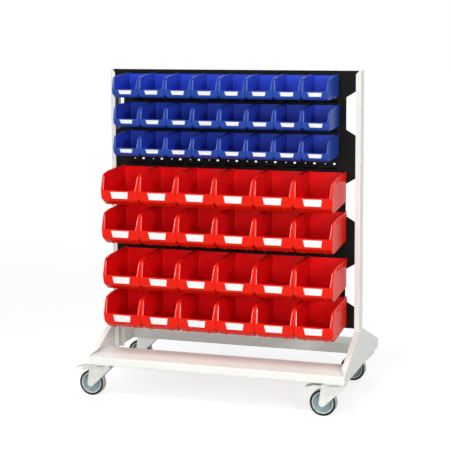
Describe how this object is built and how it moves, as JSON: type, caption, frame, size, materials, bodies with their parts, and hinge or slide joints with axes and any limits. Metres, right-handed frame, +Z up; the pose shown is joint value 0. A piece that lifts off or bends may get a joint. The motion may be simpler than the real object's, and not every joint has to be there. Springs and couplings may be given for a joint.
{
  "type": "mobile bin cart",
  "caption": "Single-sided louvred panel rack on a flanged sheet-steel base with swivel casters, hung with rows of open-front hopper bins in two sizes and two colours.",
  "frame": {"origin": "on the floor, at the middle of the cart's bounding box", "axes": "+X across the rack to the right as seen from the bins, +Y from the bins towards the back, +Z up"},
  "size_m": [1.0792, 0.6, 1.255],
  "materials": {
    "frame_paint": "satin powder coat, off-white",
    "panel_paint": "satin powder coat, black",
    "blue_plastic": "moulded polypropylene, semi-gloss",
    "red_plastic": "moulded polypropylene, semi-gloss",
    "label_card": "blank card, matt",
    "zinc_plate": "zinc plated, slightly dull",
    "wheel_plastic": "moulded nylon, blue-grey",
    "bush_plastic": "moulded plain bearing",
    "tyre_rubber": "solid rubber, dark grey"
  },
  "bodies": {
    "rack": {"upright_right": "frame_paint", "upright_left": "frame_paint", "panel_top": "panel_paint", "panel_middle": "panel_paint", "panel_bottom": "panel_paint", "gusset_right": "frame_paint", "gusset_left": "frame_paint", "base_front_channel": "frame_paint", "base_rear_channel": "frame_paint", "panel_screws": "zinc_plate", "gusset_bolts": "zinc_plate", "caster_fasteners": "zinc_plate", "top_plate_front_left": "zinc_plate", "top_plate_front_right": "zinc_plate", "top_plate_rear_left": "zinc_plate", "top_plate_rear_right": "zinc_plate", "kingpin_front_left": "zinc_plate", "kingpin_front_right": "zinc_plate", "kingpin_rear_left": "zinc_plate", "kingpin_rear_right": "zinc_plate"},
    "blue_row_1": {"blue_bins_1": "blue_plastic", "blue_labels_1": "label_card"},
    "blue_row_2": {"blue_bins_2": "blue_plastic", "blue_labels_2": "label_card"},
    "blue_row_3": {"blue_bins_3": "blue_plastic", "blue_labels_3": "label_card"},
    "red_row_1": {"red_bins_1": "red_plastic", "red_labels_1": "label_card"},
    "red_row_2": {"red_bins_2": "red_plastic", "red_labels_2": "label_card"},
    "red_row_3": {"red_bins_3": "red_plastic", "red_labels_3": "label_card"},
    "red_row_4": {"red_bins_4": "red_plastic", "red_labels_4": "label_card"},
    "swivel_front_left": {"fork_front_left": "zinc_plate", "axle_front_left": "zinc_plate", "pedal_pin_front_left": "zinc_plate"},
    "wheel_front_left": {"wheel_core_front_left": "wheel_plastic", "tyre_front_left": "tyre_rubber", "bush_front_left": "bush_plastic"},
    "pedal_front_left": {"brake_pedal_front_left": "zinc_plate"},
    "swivel_front_right": {"fork_front_right": "zinc_plate", "axle_front_right": "zinc_plate", "pedal_pin_front_right": "zinc_plate"},
    "wheel_front_right": {"wheel_core_front_right": "wheel_plastic", "tyre_front_right": "tyre_rubber", "bush_front_right": "bush_plastic"},
    "pedal_front_right": {"brake_pedal_front_right": "zinc_plate"},
    "swivel_rear_left": {"fork_rear_left": "zinc_plate", "axle_rear_left": "zinc_plate"},
    "wheel_rear_left": {"wheel_core_rear_left": "wheel_plastic", "tyre_rear_left": "tyre_rubber", "bush_rear_left": "bush_plastic"},
    "swivel_rear_right": {"fork_rear_right": "zinc_plate", "axle_rear_right": "zinc_plate"},
    "wheel_rear_right": {"wheel_core_rear_right": "wheel_plastic", "tyre_rear_right": "tyre_rubber", "bush_rear_right": "bush_plastic"}
  },
  "joints": [
    {"name": "blue_row_1_lift", "type": "slide", "parent": "rack", "child": "blue_row_1", "axis": [0, 0, 1], "range_m": [0, 0.0103]},
    {"name": "blue_row_2_lift", "type": "slide", "parent": "rack", "child": "blue_row_2", "axis": [0, 0, 1], "range_m": [0, 0.0103]},
    {"name": "blue_row_3_lift", "type": "slide", "parent": "rack", "child": "blue_row_3", "axis": [0, 0, 1], "range_m": [0, 0.0103]},
    {"name": "red_row_1_lift", "type": "slide", "parent": "rack", "child": "red_row_1", "axis": [0, 0, 1], "range_m": [0, 0.0103]},
    {"name": "red_row_2_lift", "type": "slide", "parent": "rack", "child": "red_row_2", "axis": [0, 0, 1], "range_m": [0, 0.0103]},
    {"name": "red_row_3_lift", "type": "slide", "parent": "rack", "child": "red_row_3", "axis": [0, 0, 1], "range_m": [0, 0.0103]},
    {"name": "red_row_4_lift", "type": "slide", "parent": "rack", "child": "red_row_4", "axis": [0, 0, 1], "range_m": [0, 0.0103]},
    {"name": "swivel_front_left_turn", "type": "hinge", "parent": "rack", "child": "swivel_front_left", "pos_m": [-0.4256, -0.25, 0.132], "axis": [0, 0, 1], "continuous": true},
    {"name": "wheel_front_left_spin", "type": "hinge", "parent": "swivel_front_left", "child": "wheel_front_left", "pos_m": [-0.4736, -0.25, 0.05], "axis": [0, 1, 0], "continuous": true},
    {"name": "pedal_front_left_press", "type": "hinge", "parent": "swivel_front_left", "child": "pedal_front_left", "pos_m": [-0.4596, -0.25, 0.108], "axis": [0, -1, 0], "range_deg": [0, 7]},
    {"name": "swivel_front_right_turn", "type": "hinge", "parent": "rack", "child": "swivel_front_right", "pos_m": [0.4944, -0.25, 0.132], "axis": [0, 0, 1], "continuous": true},
    {"name": "wheel_front_right_spin", "type": "hinge", "parent": "swivel_front_right", "child": "wheel_front_right", "pos_m": [0.4464, -0.25, 0.05], "axis": [0, 1, 0], "continuous": true},
    {"name": "pedal_front_right_press", "type": "hinge", "parent": "swivel_front_right", "child": "pedal_front_right", "pos_m": [0.4604, -0.25, 0.108], "axis": [0, -1, 0], "range_deg": [0, 7]},
    {"name": "swivel_rear_left_turn", "type": "hinge", "parent": "rack", "child": "swivel_rear_left", "pos_m": [-0.4256, 0.25, 0.132], "axis": [0, 0, 1], "continuous": true},
    {"name": "wheel_rear_left_spin", "type": "hinge", "parent": "swivel_rear_left", "child": "wheel_rear_left", "pos_m": [-0.4736, 0.25, 0.05], "axis": [0, 1, 0], "continuous": true},
    {"name": "swivel_rear_right_turn", "type": "hinge", "parent": "rack", "child": "swivel_rear_right", "pos_m": [0.4944, 0.25, 0.132], "axis": [0, 0, 1], "continuous": true},
    {"name": "wheel_rear_right_spin", "type": "hinge", "parent": "swivel_rear_right", "child": "wheel_rear_right", "pos_m": [0.4464, 0.25, 0.05], "axis": [0, 1, 0], "continuous": true}
  ]
}
